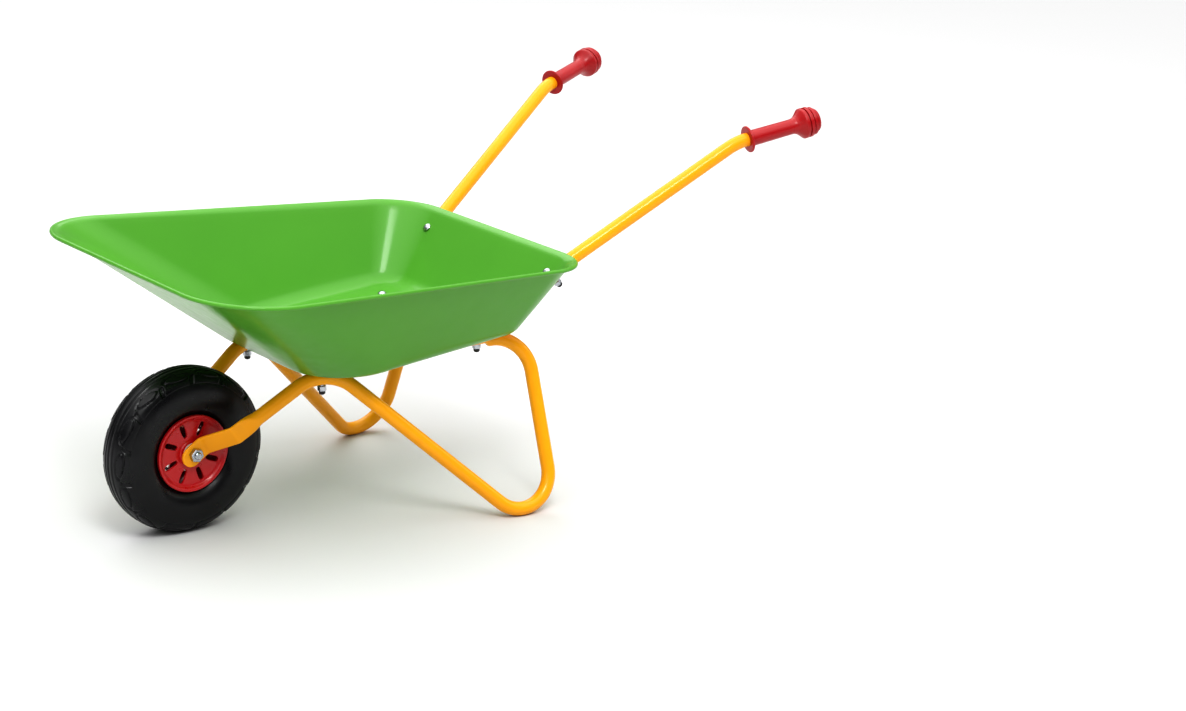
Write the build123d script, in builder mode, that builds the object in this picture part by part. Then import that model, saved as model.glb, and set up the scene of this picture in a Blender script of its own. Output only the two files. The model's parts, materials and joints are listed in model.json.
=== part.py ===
from build123d import *
import os
from math import atan2, cos, radians, sin

# Child's metal wheelbarrow, in millimetres.
# +X points forward, to the wheel; +Y is the left side; +Z is up; the ground is Z = 0.
# Left-hand pieces are modelled and the right-hand ones are their mirror images.

# --- where the axle is; axle_x puts the origin under the middle of the barrow ---
axle_x = 303.24
axle_z = 87.5

# --- wheel (radii from the axle, y from the middle of the wheel) ---
tyre_radius = 87.5
tyre_half_width = 25.0
bead_seat_radius = 37.0     # the rim's barrel, where the tyre sits
rim_radius, rim_lip_y = 41.2, 21.3
hub_bore, hub_radius, hub_y = 8.0, 11.5, 18.4
web_y = 17.0                # outer face of the rim's slotted web
slot_count, slot_radius, slot_length, slot_width = 8, 26.2, 15.4, 6.2
screw_count, screw_radius = 4, 27.0
slot_turn = 22.5            # the wheel as it stands: its first slot is this far above +X
sleeve_radius, sleeve_y = 5.0, 19.6
washer_thick = 1.2
axle_radius = 4.0

# --- tub: a rounded trapezoid floor and rim, each in its own tilted plane ---
sheet = 1.0
rim_front_x, rim_front_y, rim_front_z = axle_x + 75.5, 202.0, 291.3
rim_rear_x, rim_rear_y, rim_rear_z = axle_x - 403.0, 167.0, 270.0
rim_front_corner, rim_rear_corner = 80.0, 59.0
bead_radius = 2.2
lip = 4.5                   # from the top of the wall out to the middle of the rolled bead
floor_front_x, floor_rear_x = axle_x - 97.5, axle_x - 345.0
floor_front_y, floor_rear_y = 129.0, 122.7
floor_front_corner, floor_rear_corner = 75.0, 29.0
floor_low_z = 169.4         # underside at the front edge
floor_slope = 0.0903        # the floor climbs towards the handles
floor_edge_radius = 25.0

# --- frame tubes ---
tube_radius, tube_wall = 7.5, 1.2
fork_angle = 35.0           # the fork arms drop to the axle at this angle
strap_thick, strap_width = 3.0, 22.0   # fork end of the leg tube, pressed flat
heel_thick, heel_width = 2.4, 21.0     # lower end of the handle tube, pressed flat
arch = Vector(axle_x - 126.7, 71.0, 176.4)   # corners of the leg tube before bending
foot = Vector(axle_x - 368.0, 178.5, -42.286)
hip_x, hip_y = axle_x - 367.0, 96.5
leg_end_x, leg_end_y = axle_x - 298.5, 84.1      # the pressed end by the floor's rear bolt
leg_round_x, leg_oval_x = axle_x - 323.5, axle_x - 315.5
leg_oval_width, leg_oval_thick = 19.0, 9.0
arch_bend, foot_bend, hip_bend = 49.0, 38.6, 42.0
handle_slope = 0.6607       # the handle climbs this much for each millimetre back
handle_z = 257.6            # its centre line under the rear of the rim
wall_bend_y = 109.3
grip_bend_y, grip_bend_x = 166.0, axle_x - 595.4
grip_direction = Vector(-0.9395, 0.2602, 0.2225).normalized()
wall_bend, grip_bend = 80.0, 68.0
heel_spread = 0.266         # the lower end runs out sideways by this much going back

# --- fasteners ---
bolt_radius, head_radius, head_height = 2.45, 4.9, 2.6
hole_radius = 2.7
nut_flats, nut_height = 8.0, 5.0
cap_radius, cap_height = 3.4, 4.6
front_bolt_x, front_bolt_y = axle_x - 120.5, 70.6
rear_bolt_x, rear_bolt_y = axle_x - 309.0, 86.2
wall_bolt_climb, wall_bolt_y = 71.3, 107.6
wall_bolt_lean = 5.5        # square to the tube, which is already leaving the wall there
fit = 0.1                   # gap between stacked pieces that are drawn tight by a bolt

# --- grip, measured along the tube from the face of its hand guard ---
guard_start = 13.4          # from the bend's corner to the guard
guard_radius, guard_thick = 14.8, 2.6
grip_radius, knob_radius, knob_start = 8.9, 17.0, 67.4
grip_depth = 64.0           # how far the tube goes in

os.makedirs("parts", exist_ok=True)


def save(builder, label):
    """Label one finished piece and write it out."""
    builder.part.label = label
    export_step(builder.part, f"parts/{label}.step")
    size = builder.part.bounding_box().size
    print(f"{label:24s} {len(builder.solids())} solid {size.X:7.1f} {size.Y:7.1f} {size.Z:7.1f}")


def save_pair(builder, name):
    """Write the left-hand piece and its mirror image."""
    save(builder, f"{name}_left")
    with BuildPart() as twin:
        mirror(builder.part, about=Plane.XZ)
    save(twin, f"{name}_right")


# ================================================================ shared geometry
def floor_z(x):
    """Height of the tub floor's underside."""
    return floor_low_z + floor_slope * (floor_front_x - x)


def floor_point(x, y, below=0.0):
    """Point under the floor's underside, measured square to it."""
    return Vector(x, y, floor_z(x)) + floor_down * below


floor_tilt = atan2(floor_slope, 1.0)
floor_down = Vector(-sin(floor_tilt), 0, -cos(floor_tilt))
rim_tilt = atan2(rim_front_z - rim_rear_z, rim_front_x - rim_rear_x)
floor_length = (floor_front_x - floor_rear_x) / cos(floor_tilt)
rim_length = (rim_front_x - rim_rear_x) / cos(rim_tilt)

floor_plane = Plane(
    origin=(floor_front_x, 0, floor_low_z),
    x_dir=(cos(floor_tilt), 0, -sin(floor_tilt)),
    z_dir=-floor_down,
)
rim_plane = Plane(
    origin=(rim_front_x, 0, rim_front_z),
    x_dir=(cos(rim_tilt), 0, sin(rim_tilt)),
    z_dir=(-sin(rim_tilt), 0, cos(rim_tilt)),
)

# The rear wall's outer face: its foot, the way it climbs, and the way it faces.
wall_foot = Vector(floor_rear_x, 0, floor_z(floor_rear_x))
wall_up = (Vector(rim_rear_x + lip, 0, rim_rear_z) - wall_foot).normalized()
wall_out = Vector(-wall_up.Z, 0, wall_up.X)


def wall_point(along, out):
    """Point beside the rear wall: so far up it, and so far out from it."""
    return wall_foot + wall_up * along + wall_out * out


# The handle's centre line meets the line that runs up the wall just under the rim.
tube_out = tube_radius + fit
near_wall = wall_point(0, tube_out)
drop = handle_z + handle_slope * (rim_rear_x - near_wall.X) - near_wall.Z
wall_climb = drop / (wall_up.Z + handle_slope * wall_up.X)
wall_corner = wall_point(wall_climb, tube_out) + Vector(0, wall_bend_y, 0)
grip_corner = Vector(
    grip_bend_x, grip_bend_y, handle_z + handle_slope * (rim_rear_x - grip_bend_x)
)


def heel_y(x):
    """Sideways position of the handle tube's lower end."""
    return wall_bend_y + heel_spread * (wall_corner.X - x)


def bolt_seats(point, facing):
    """Planes on the tub's inner face where a left and a right bolt head sit."""
    return [
        Plane(origin=(point.X, side * point.Y, point.Z), x_dir=(0, 1, 0), z_dir=facing)
        for side in (1, -1)
    ]


front_seats = bolt_seats(floor_point(front_bolt_x, front_bolt_y, -sheet), -floor_down)
rear_seats = bolt_seats(floor_point(rear_bolt_x, rear_bolt_y, -sheet), -floor_down)
wall_seats = bolt_seats(
    wall_point(wall_bolt_climb, -sheet - 6 * fit) + Vector(0, wall_bolt_y, 0),
    -wall_out.rotate(Axis.Y, -wall_bolt_lean),
)
# How far each bolt runs from the tub's inner face to its nut.
front_grip = sheet + 2 * tube_radius + 14 * fit
rear_grip = sheet + heel_thick + leg_oval_thick + 4 * fit
wall_grip = sheet + 2 * tube_radius + 20 * fit


def drill(seats, radius, depth):
    """Cut round holes down the axes of bolt seats."""
    for seat in seats:
        with BuildSketch(seat.offset(3)) as hole:
            Circle(radius)
        extrude(hole.sketch, amount=-depth - 3, mode=Mode.SUBTRACT)


def rounded_trapezoid(length, front_y, rear_y, front_corner, rear_corner):
    """Face that runs back from x = 0, with both ends square to x."""
    with BuildSketch() as outline:
        with BuildLine():
            Polyline((0, front_y), (-length, rear_y), (-length, -rear_y), (0, -front_y), close=True)
        make_face()
        fillet(outline.vertices().group_by(Axis.X)[-1], radius=front_corner)
        fillet(outline.vertices().group_by(Axis.X)[0], radius=rear_corner)
    return outline.sketch


def outline_face(plane, inset, floor):
    """The floor's or the rim's outline, drawn in by inset, in its own plane."""
    if floor:
        corners = (floor_front_corner - inset, floor_rear_corner - inset)
        face = rounded_trapezoid(
            floor_length - 2 * inset, floor_front_y - inset, floor_rear_y - inset, *corners
        )
    else:
        taper = (rim_front_y - rim_rear_y) / rim_length
        corners = (rim_front_corner - inset, rim_rear_corner - inset)
        face = rounded_trapezoid(
            rim_length - 2 * inset,
            rim_front_y - inset * (1 + taper),
            rim_rear_y - inset * (1 - taper),
            *corners,
        )
    return plane.location * Pos(-inset, 0, 0) * face


def tub_block(inset, floor_inset, floor_lift, edge_radius, extra=0.0):
    """Solid filling the tub out to one face of its sheet."""
    with BuildPart() as block:
        add(outline_face(floor_plane.offset(floor_lift), floor_inset, True))
        add(outline_face(rim_plane.offset(extra), inset, False))
        loft(ruled=True)
        fillet(block.faces().sort_by(Axis.Z)[0].edges(), radius=edge_radius)
    return block.part


# ================================================================ tub
outer_block = tub_block(lip, 0.0, 0.0, floor_edge_radius)
inner_block = tub_block(lip + 1.3 * sheet, 0.45 * sheet, sheet, floor_edge_radius - sheet)
bead_loop = outline_face(rim_plane.offset(-sheet / 2), 0.0, False).faces()[0].outer_wire()

with BuildPart() as tub:
    add(outer_block)
    # flared lip between the wall's top edge and the bead
    extrude(outline_face(rim_plane, 0.0, False), amount=-sheet)
    # rolled bead
    with BuildSketch(Plane(origin=bead_loop @ 0, z_dir=bead_loop % 0)) as bead_section:
        Circle(bead_radius)
    sweep(bead_section.sketch, path=bead_loop)
    add(inner_block, mode=Mode.SUBTRACT)
    drill(front_seats + rear_seats + wall_seats, hole_radius, 5)
save(tub, "tub")

# ================================================================ leg and fork tube
fork_run = Vector(cos(radians(fork_angle)), 0, -sin(radians(fork_angle)))
axle = Vector(axle_x, 0, axle_z)
fork_start = (arch - axle).dot(fork_run)             # negative: behind the axle
strap_corner, eye_corner = -39.0, -13.0              # where the strap is joggled
strap_corner_y, eye_y = 48.6, 22.3
fork_spread = (strap_corner_y - arch.Y) / (strap_corner - fork_start)
round_end, flat_start = -66.0, -48.0
eye_end, eye_round = 4.0, 11.0


def fork_point(s, y):
    """Point in the fork's plane: s along it from the axle, and y sideways."""
    return axle + fork_run * s + Vector(0, y, 0)


def fork_y(s):
    """Sideways position of the straight fork arm."""
    return arch.Y + fork_spread * (s - fork_start)


fork_direction = (fork_point(0, fork_y(0)) - fork_point(-50, fork_y(-50))).normalized()
fork_plane = Plane(origin=axle, x_dir=fork_run, z_dir=fork_run.cross(Vector(0, 1, 0)))
eye_plane = Plane(origin=axle, x_dir=fork_run, z_dir=(0, 1, 0))

leg_top = heel_thick + 3 * fit           # how far below the floor the leg tube runs
leg_below = leg_top + tube_radius
leg_run = (hip_y - leg_end_y) / (hip_x - leg_end_x)


def leg_y(x):
    """Sideways position of the leg tube where it runs under the floor."""
    return leg_end_y + leg_run * (x - leg_end_x)


with BuildLine() as leg_line:
    FilletPolyline(
        floor_point(leg_round_x, leg_y(leg_round_x), leg_below),
        floor_point(hip_x, hip_y, leg_below),
        foot,
        arch,
        fork_point(round_end, fork_y(round_end)),
        radius=[hip_bend, foot_bend, arch_bend],
    )
leg_path = leg_line.wires()[0]


def flat_sections(start_plane, end_plane, radius, width, thick):
    """A circle and a rounded flat bar, the two ends of a pressed length of tube."""
    with BuildSketch(start_plane) as round_section:
        Circle(radius)
    with BuildSketch(end_plane) as flat_section:
        SlotOverall(width, thick)
    return [round_section.sketch, flat_section.sketch]


press_start = Plane(origin=leg_path @ 1, x_dir=fork_plane.z_dir, z_dir=leg_path % 1)
press_end = Plane(
    origin=fork_point(flat_start, fork_y(flat_start)), x_dir=fork_plane.z_dir, z_dir=fork_direction
)
with BuildPart() as fork_strap:
    with BuildSketch(fork_plane) as strap_side:
        with BuildLine():
            FilletPolyline(
                (flat_start, fork_y(flat_start)),
                (strap_corner, strap_corner_y),
                (eye_corner, eye_y),
                (eye_end + eye_round, eye_y),
                radius=8.0,
            )
        trace(line_width=strap_thick)
    extrude(strap_side.sketch, amount=strap_width / 2, dir=fork_plane.z_dir, both=True)
    with BuildSketch(eye_plane) as strap_plan:
        with Locations((eye_end - 40, 0)):
            Rectangle(80, strap_width)
        with Locations((eye_end, 0)):
            Circle(eye_round)
        Circle(axle_radius + 0.2, mode=Mode.SUBTRACT)
    extrude(strap_plan.sketch, amount=90, mode=Mode.INTERSECT)
oval_below = leg_top + leg_oval_thick / 2
oval_start = floor_point(leg_oval_x, leg_y(leg_oval_x), oval_below)
oval_end = floor_point(leg_end_x, leg_end_y, oval_below)
oval_way = (oval_end - oval_start).normalized()
oval_side = oval_way.cross(floor_down).normalized()
oval_plane = Plane(origin=oval_start, x_dir=oval_side, z_dir=oval_way)
round_plane = Plane(origin=leg_path @ 0, x_dir=oval_side, z_dir=(leg_path % 0) * -1)
with BuildPart() as leg_tube:
    with BuildSketch(Plane(origin=leg_path @ 0, z_dir=leg_path % 0)) as leg_section:
        Circle(tube_radius)
        Circle(tube_radius - tube_wall, mode=Mode.SUBTRACT)
    sweep(leg_section.sketch, path=leg_path)
    loft(flat_sections(press_start, press_end, tube_radius, strap_width, strap_thick))
    add(fork_strap.part)
    loft(flat_sections(round_plane, oval_plane, tube_radius, leg_oval_width, leg_oval_thick))
    with BuildSketch(oval_plane) as oval_section:
        SlotOverall(leg_oval_width, leg_oval_thick)
        SlotOverall(
            leg_oval_width - 2 * tube_wall, leg_oval_thick - 2 * tube_wall, mode=Mode.SUBTRACT
        )
    extrude(oval_section.sketch, amount=(oval_end - oval_start).length)
    drill(front_seats[:1] + rear_seats[:1], hole_radius, 30)
save_pair(leg_tube, "leg_tube")

# ================================================================ handle tube
press_low, press_high = 40.0, 60.0          # up the wall: from flat to round
heel_out = fit + heel_thick / 2
floor_run = Vector(-cos(floor_tilt), 0, sin(floor_tilt))
heel_front = floor_point(rear_bolt_x + heel_width / 2, 0, heel_out)
under, beside = floor_point(floor_rear_x, 0, heel_out), wall_point(0, heel_out)
reach = (beside - under).cross(wall_up).Y / floor_run.cross(wall_up).Y
heel_corner = under + floor_run * reach
round_low = wall_point(press_high, tube_out)
flat_high = wall_point(press_low, heel_out)
tube_start = Vector(round_low.X, heel_y(round_low.X), round_low.Z)

with BuildLine() as handle_line:
    FilletPolyline(
        tube_start,
        wall_corner,
        grip_corner,
        grip_corner + grip_direction * (guard_start + grip_depth),
        radius=[wall_bend, grip_bend],
    )
handle_path = handle_line.wires()[0]
side_plane = Plane(origin=(0, 0, 0), x_dir=(1, 0, 0), z_dir=(0, -1, 0))

with BuildPart() as heel:
    with BuildSketch(side_plane) as heel_side:
        with BuildLine():
            FilletPolyline(
                (heel_front.X, heel_front.Z),
                (heel_corner.X, heel_corner.Z),
                (flat_high.X, flat_high.Z),
                radius=floor_edge_radius + heel_out,
            )
        trace(line_width=heel_thick)
    extrude(heel_side.sketch, amount=200, dir=(0, 1, 0))
    heel_tip = Vector(rear_bolt_x, rear_bolt_y)
    heel_back = Vector(flat_high.X - 20, heel_y(flat_high.X - 20))
    heel_way = (heel_back - heel_tip).normalized()
    with BuildSketch(Plane(origin=(heel_tip.X, heel_tip.Y, 150), x_dir=heel_way)) as heel_plan:
        with Locations((75, 0)):
            Rectangle(150, heel_width)
        Circle(heel_width / 2)
    extrude(heel_plan.sketch, amount=150, mode=Mode.INTERSECT)

handle_press_end = Plane(
    origin=(flat_high.X, heel_y(flat_high.X), flat_high.Z), x_dir=(0, 1, 0), z_dir=wall_up
)
handle_press_start = Plane(origin=handle_path @ 0, x_dir=(0, 1, 0), z_dir=handle_path % 0)
with BuildPart() as handle_tube:
    with BuildSketch(Plane(origin=handle_path @ 0, z_dir=handle_path % 0)) as handle_section:
        Circle(tube_radius)
        Circle(tube_radius - tube_wall, mode=Mode.SUBTRACT)
    sweep(handle_section.sketch, path=handle_path)
    loft(
        flat_sections(
            handle_press_start, handle_press_end, tube_radius, heel_width, heel_thick
        )
    )
    add(heel.part)
    drill(rear_seats[:1] + wall_seats[:1], hole_radius, 24)
save_pair(handle_tube, "handle_tube")

# ================================================================ grips
guard_face = grip_corner + grip_direction * guard_start
grip_plane = Plane(
    origin=guard_face, x_dir=grip_direction, z_dir=grip_direction.cross(Vector(0, 0, 1)).normalized()
)
bore = tube_radius + 0.05
with BuildPart() as grip:
    with BuildSketch(grip_plane) as grip_half:
        with BuildLine():
            barrel = Line((guard_thick, grip_radius), (55, grip_radius - 0.5))
            flare = Spline(
                barrel @ 1, (62.2, 11.2), (knob_start, knob_radius - 0.8), tangents=((1, 0), (1, 1.1))
            )
            Polyline(
                (guard_thick, grip_radius),
                (guard_thick, guard_radius),
                (0, guard_radius),
                (0, bore),
                (grip_depth + 1, bore),
                (grip_depth + 1, 0),
                (88.0, 0),
                (88.0, 9.5),
                (86.6, 12.2),
                (84.8, 13.6),
                (83.4, 13.6),
                (83.4, 12.8),
                (82.3, 12.8),
                (82.3, 15.6),
                (78.5, 15.6),
                (78.5, 14.2),
                (77.1, 14.2),
                (77.1, 16.9),
                (73.1, 16.9),
                (73.1, 14.8),
                (71.7, 14.8),
                (71.7, knob_radius),
                (knob_start + 0.5, knob_radius),
                (knob_start, knob_radius - 0.8),
            )
        make_face()
    revolve(grip_half.sketch, axis=Axis(guard_face, grip_direction))
save_pair(grip, "grip")

# ================================================================ wheel
wheel_plane = Plane(origin=axle, x_dir=(1, 0, 0), z_dir=(0, -1, 0))     # local y is up
wheel_axis = Axis(axle, (0, 1, 0))
half_plane = Plane(origin=axle, x_dir=(0, 1, 0), z_dir=(1, 0, 0))       # local (y, radius)


def spun(points):
    """Revolve a closed outline of (y, radius) points about the axle."""
    with BuildSketch(half_plane) as half:
        with BuildLine():
            Polyline(*points, close=True)
        make_face()
    revolve(half.sketch, axis=wheel_axis)


with BuildPart() as tyre:
    with BuildSketch(half_plane) as tyre_half:
        with BuildLine():
            half_outer = Spline(
                (17.5, rim_radius + 0.8), (24.0, 50.5), (tyre_half_width, 62), (23.0, 74), (18.6, 81.5)
            )
            Polyline(half_outer @ 0, (16.8, 41), (16.8, 38.6), (14.8, 37.5), (10.8, 37.3), (11.6, 42))
            half_inner = Spline((11.6, 42), (20.6, 56), (21.0, 66), (12.5, 79.5), (0, 82.0))
            Polyline(half_inner @ 1, (0, tyre_radius))
            Spline((0, tyre_radius), (9.5, 86.2), half_outer @ 1, tangents=((1, 0), (1, -1)))
        make_face()
        mirror(about=Plane.YZ)
    revolve(tyre_half.sketch, axis=wheel_axis)
    for groove_y, groove_r in ((0, 86.2), (7.2, 85.4), (-7.2, 85.4), (13.6, 82.6), (-13.6, 82.6)):
        with BuildSketch(half_plane) as groove:
            with Locations((groove_y, groove_r + 3)):
                Rectangle(1.8, 6)
        revolve(groove.sketch, axis=wheel_axis, mode=Mode.SUBTRACT)
save(tyre, "tyre")

with BuildPart() as inner_tube:
    with BuildSketch(half_plane) as tube_skin:
        with Locations((0, 60.0)):
            Ellipse(15.5, 20.5)
            Ellipse(14.3, 19.3, mode=Mode.SUBTRACT)
    revolve(tube_skin.sketch, axis=wheel_axis)
save(inner_tube, "inner_tube")

valve_turn = slot_turn + 45.0           # behind a slot, so that a pump can reach it
valve_y = -7.0
valve_run = Vector(cos(radians(valve_turn)), 0, sin(radians(valve_turn)))
valve_foot = axle + Vector(0, valve_y, 0)


def rod(start, end, radius, mode=Mode.ADD):
    """Round rod along the valve, between two distances from the axle."""
    with BuildSketch(Plane(origin=valve_foot + valve_run * start, z_dir=valve_run)) as section:
        Circle(radius)
    extrude(section.sketch, amount=end - start, mode=mode)


with BuildPart() as valve_stem:
    rod(19.0, 40.0, 2.9)
save(valve_stem, "valve_stem")

with BuildPart() as valve_cap:
    rod(14.5, 24.0, 4.0)
    rod(18.9, 25.0, 2.95, Mode.SUBTRACT)
save(valve_cap, "valve_cap")


def rim_body(side):
    """One moulded half of the rim."""
    outline = [
        (0.05, bead_seat_radius),
        (15.2, bead_seat_radius + 0.1),
        (17.2, 38.2),
        (17.2, 40.6),
        (17.9, rim_radius),
        (rim_lip_y - 0.7, rim_radius),
        (rim_lip_y, rim_radius - 0.7),
        (rim_lip_y, 39.0),
        (20.6, 38.0),
        (web_y + 0.9, 35.2),
        (web_y + 0.4, 34.4),
        (web_y, 17.0),
        (web_y, 14.2),
        (hub_y, 13.4),
        (hub_y, hub_bore),
        (0.05, hub_bore),
        (0.05, hub_radius),
        (web_y - 2.6, hub_radius + 0.6),
        (web_y - 2.6, 34.6),
        (0.05, bead_seat_radius - 2.1),
    ]
    spun([(side * y, r) for y, r in outline])
    step = 360 / slot_count
    for i in range(slot_count):
        with BuildSketch(wheel_plane) as slot:
            with PolarLocations(slot_radius, 1, start_angle=slot_turn + step * i):
                SlotOverall(slot_length, slot_width)
        extrude(slot.sketch, amount=-side * 21, mode=Mode.SUBTRACT)
    for i in range(screw_count):
        angle = slot_turn + step * (0.5 + i * slot_count / screw_count)
        with BuildSketch(wheel_plane.offset(-side * 0.05)) as post:
            with PolarLocations(screw_radius, 1, start_angle=angle):
                Circle(3.8)
        extrude(post.sketch, amount=-side * (web_y - 1))
        with BuildSketch(wheel_plane) as pilot:
            with PolarLocations(screw_radius, 1, start_angle=angle):
                Circle(1.65 if side == 1 else 1.9)
        extrude(pilot.sketch, amount=-side * (13 if side == 1 else 21), mode=Mode.SUBTRACT)
        if side == -1:
            with BuildSketch(wheel_plane.offset(10)) as pocket:
                with PolarLocations(screw_radius, 1, start_angle=angle):
                    Circle(3.3)
            extrude(pocket.sketch, amount=12, mode=Mode.SUBTRACT)


with BuildPart() as rim_half_left:
    rim_body(1)
save(rim_half_left, "rim_half_left")

with BuildPart() as rim_half_right:
    rim_body(-1)
    rod(29, 42, 3.1, Mode.SUBTRACT)
save(rim_half_right, "rim_half_right")

with BuildPart() as rim_screws:
    for i in range(screw_count):
        angle = slot_turn + 360 / slot_count * (0.5 + i * slot_count / screw_count)
        with BuildSketch(wheel_plane.offset(10.2)) as shank:
            with PolarLocations(screw_radius, 1, start_angle=angle):
                Circle(1.6)
        with BuildSketch(wheel_plane.offset(10.1)) as screw_head:
            with PolarLocations(screw_radius, 1, start_angle=angle):
                Circle(3.0)
        extrude(shank.sketch, amount=-22)
        extrude(screw_head.sketch, amount=2.2)
save(rim_screws, "rim_screws")

with BuildPart() as hub_bush:
    spun([
        (1.0, sleeve_radius + 0.08),
        (1.0, hub_bore - 0.02),
        (hub_y + 0.02, hub_bore - 0.02),
        (hub_y + 0.02, 11.0),
        (sleeve_y - 0.3, 11.0),
        (sleeve_y - 0.3, sleeve_radius + 0.08),
    ])
save_pair(hub_bush, "hub_bush")

with BuildPart() as spacer_sleeve:
    spun([
        (-sleeve_y, axle_radius + 0.1),
        (-sleeve_y, sleeve_radius),
        (sleeve_y, sleeve_radius),
        (sleeve_y, axle_radius + 0.1),
    ])
save(spacer_sleeve, "spacer_sleeve")

eye_inner = eye_y - strap_thick / 2
eye_outer = eye_y + strap_thick / 2
with BuildPart() as axle_washers:
    for side in (1, -1):
        spun([
            (side * sleeve_y, axle_radius + 0.1),
            (side * sleeve_y, 8.5),
            (side * eye_inner, 8.5),
            (side * eye_inner, axle_radius + 0.1),
        ])
save(axle_washers, "axle_washers")

axle_nut_flats, axle_nut_height = 13.0, 5.6
axle_turn = Plane(origin=axle, x_dir=(cos(radians(12)), 0, sin(radians(12))), z_dir=(0, 1, 0))
with BuildPart() as axle_bolt:
    spun([
        (-eye_outer - 1, 0),
        (-eye_outer - 1, axle_radius),
        (30.6, axle_radius),
        (31.6, axle_radius - 1),
        (31.6, 0),
    ])
    with BuildSketch(axle_turn.offset(-eye_outer)) as axle_head:
        RegularPolygon(axle_nut_flats / 2, 6, major_radius=False)
    extrude(axle_head.sketch, amount=-5.3)
    chamfer(axle_bolt.faces().sort_by(Axis.Y)[0].edges(), length=0.6)
save(axle_bolt, "axle_bolt")

with BuildPart() as axle_nut:
    with BuildSketch(axle_turn.offset(eye_outer)) as axle_hex:
        RegularPolygon(axle_nut_flats / 2, 6, major_radius=False)
    extrude(axle_hex.sketch, amount=axle_nut_height)
    chamfer(axle_nut.faces().sort_by(Axis.Y)[-1].edges(), length=0.6)
    with BuildSketch(axle_turn.offset(eye_outer)) as axle_hole:
        Circle(axle_radius + 0.05)
    extrude(axle_hole.sketch, amount=axle_nut_height, mode=Mode.SUBTRACT)
save(axle_nut, "axle_nut")


# ================================================================ tub bolts, nuts and end caps
def bolts(seats, grip_length):
    """Domed bolts from inside the tub."""
    for seat in seats:
        upright = Plane(origin=seat.origin, x_dir=seat.x_dir, z_dir=seat.x_dir.cross(seat.z_dir))
        end = grip_length + nut_height + 2.4
        with BuildSketch(upright) as half:
            with BuildLine():
                Polyline(
                    (0, head_height),
                    (0, -end),
                    (bolt_radius, -end),
                    (bolt_radius, 0),
                    (head_radius, 0),
                    (head_radius, 0.5),
                )
                ThreePointArc(
                    (head_radius, 0.5), (head_radius * 0.66, head_height * 0.76), (1, head_height)
                )
                Line((1, head_height), (0, head_height))
            make_face()
        revolve(half.sketch, axis=Axis(seat.origin, seat.z_dir))


def nuts(seats, grip_length):
    """Hexagon nuts at the far ends of the bolts."""
    for seat in seats:
        with BuildSketch(seat.offset(-grip_length)) as hexagon:
            RegularPolygon(nut_flats / 2, 6, major_radius=False)
            Circle(bolt_radius + 0.05, mode=Mode.SUBTRACT)
        extrude(hexagon.sketch, amount=-nut_height)


def caps(seats, grip_length):
    """Rounded plastic caps over the ends of the bolts."""
    for seat in seats:
        base = seat.offset(-grip_length - nut_height - 0.05).origin
        upright = Plane(origin=base, x_dir=seat.x_dir, z_dir=seat.x_dir.cross(seat.z_dir))
        with BuildSketch(upright) as half:
            with BuildLine():
                Polyline((bolt_radius + 0.1, 0), (cap_radius, 0), (cap_radius, -cap_height + 1.8))
                ThreePointArc(
                    (cap_radius, -cap_height + 1.8),
                    (cap_radius * 0.74, -cap_height + 0.5),
                    (1, -cap_height),
                )
                Polyline(
                    (1, -cap_height),
                    (0, -cap_height),
                    (0, -2.6),
                    (bolt_radius + 0.1, -2.6),
                    (bolt_radius + 0.1, 0),
                )
            make_face()
        revolve(half.sketch, axis=Axis(base, seat.z_dir))


for name, seats, grip_length in (
    ("front_floor", front_seats, front_grip),
    ("rear_floor", rear_seats, rear_grip),
    ("wall", wall_seats, wall_grip),
):
    with BuildPart() as bolt_pair:
        bolts(seats, grip_length)
    save(bolt_pair, f"{name}_bolts")
    with BuildPart() as nut_pair:
        nuts(seats, grip_length)
    save(nut_pair, f"{name}_nuts")
    with BuildPart() as cap_pair:
        caps(seats, grip_length)
    save(cap_pair, f"{name}_bolt_caps")
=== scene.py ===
import json
import math
import bpy
import bmesh
from mathutils import Vector, Matrix


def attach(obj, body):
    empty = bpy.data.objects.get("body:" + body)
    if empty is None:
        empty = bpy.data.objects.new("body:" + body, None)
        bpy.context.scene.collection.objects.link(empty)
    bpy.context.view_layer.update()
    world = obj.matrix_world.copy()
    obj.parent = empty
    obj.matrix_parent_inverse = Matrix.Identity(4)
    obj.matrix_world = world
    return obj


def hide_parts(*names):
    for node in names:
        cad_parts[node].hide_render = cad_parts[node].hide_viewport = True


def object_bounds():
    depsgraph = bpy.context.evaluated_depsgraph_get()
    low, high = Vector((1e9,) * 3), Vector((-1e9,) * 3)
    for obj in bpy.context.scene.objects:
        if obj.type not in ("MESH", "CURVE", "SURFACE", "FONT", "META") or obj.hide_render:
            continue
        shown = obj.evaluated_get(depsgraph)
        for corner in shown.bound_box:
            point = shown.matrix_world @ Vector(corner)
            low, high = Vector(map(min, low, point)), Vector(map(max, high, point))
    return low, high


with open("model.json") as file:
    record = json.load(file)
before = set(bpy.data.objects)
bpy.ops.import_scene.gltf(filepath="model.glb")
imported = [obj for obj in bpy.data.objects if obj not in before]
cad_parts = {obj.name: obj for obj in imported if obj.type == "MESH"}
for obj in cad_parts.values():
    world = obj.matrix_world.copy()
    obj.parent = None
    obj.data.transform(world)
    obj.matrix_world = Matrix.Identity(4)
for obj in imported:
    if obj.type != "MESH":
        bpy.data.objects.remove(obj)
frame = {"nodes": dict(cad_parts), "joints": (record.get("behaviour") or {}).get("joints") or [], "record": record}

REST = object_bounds()
AXLE = Vector(frame["joints"][0]["pos_m"])
MM = 0.001


def at(x, y, z):
    """Point given in millimetres: x and y from the axle, z from the ground."""
    return Vector((AXLE.x + x * MM, y * MM, z * MM))


def wheel_point(y, r, theta):
    """Point on the wheel in millimetres, theta turned up from the forward direction."""
    return Vector((AXLE.x + r * MM * math.cos(theta), y * MM, AXLE.z + r * MM * math.sin(theta)))


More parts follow.
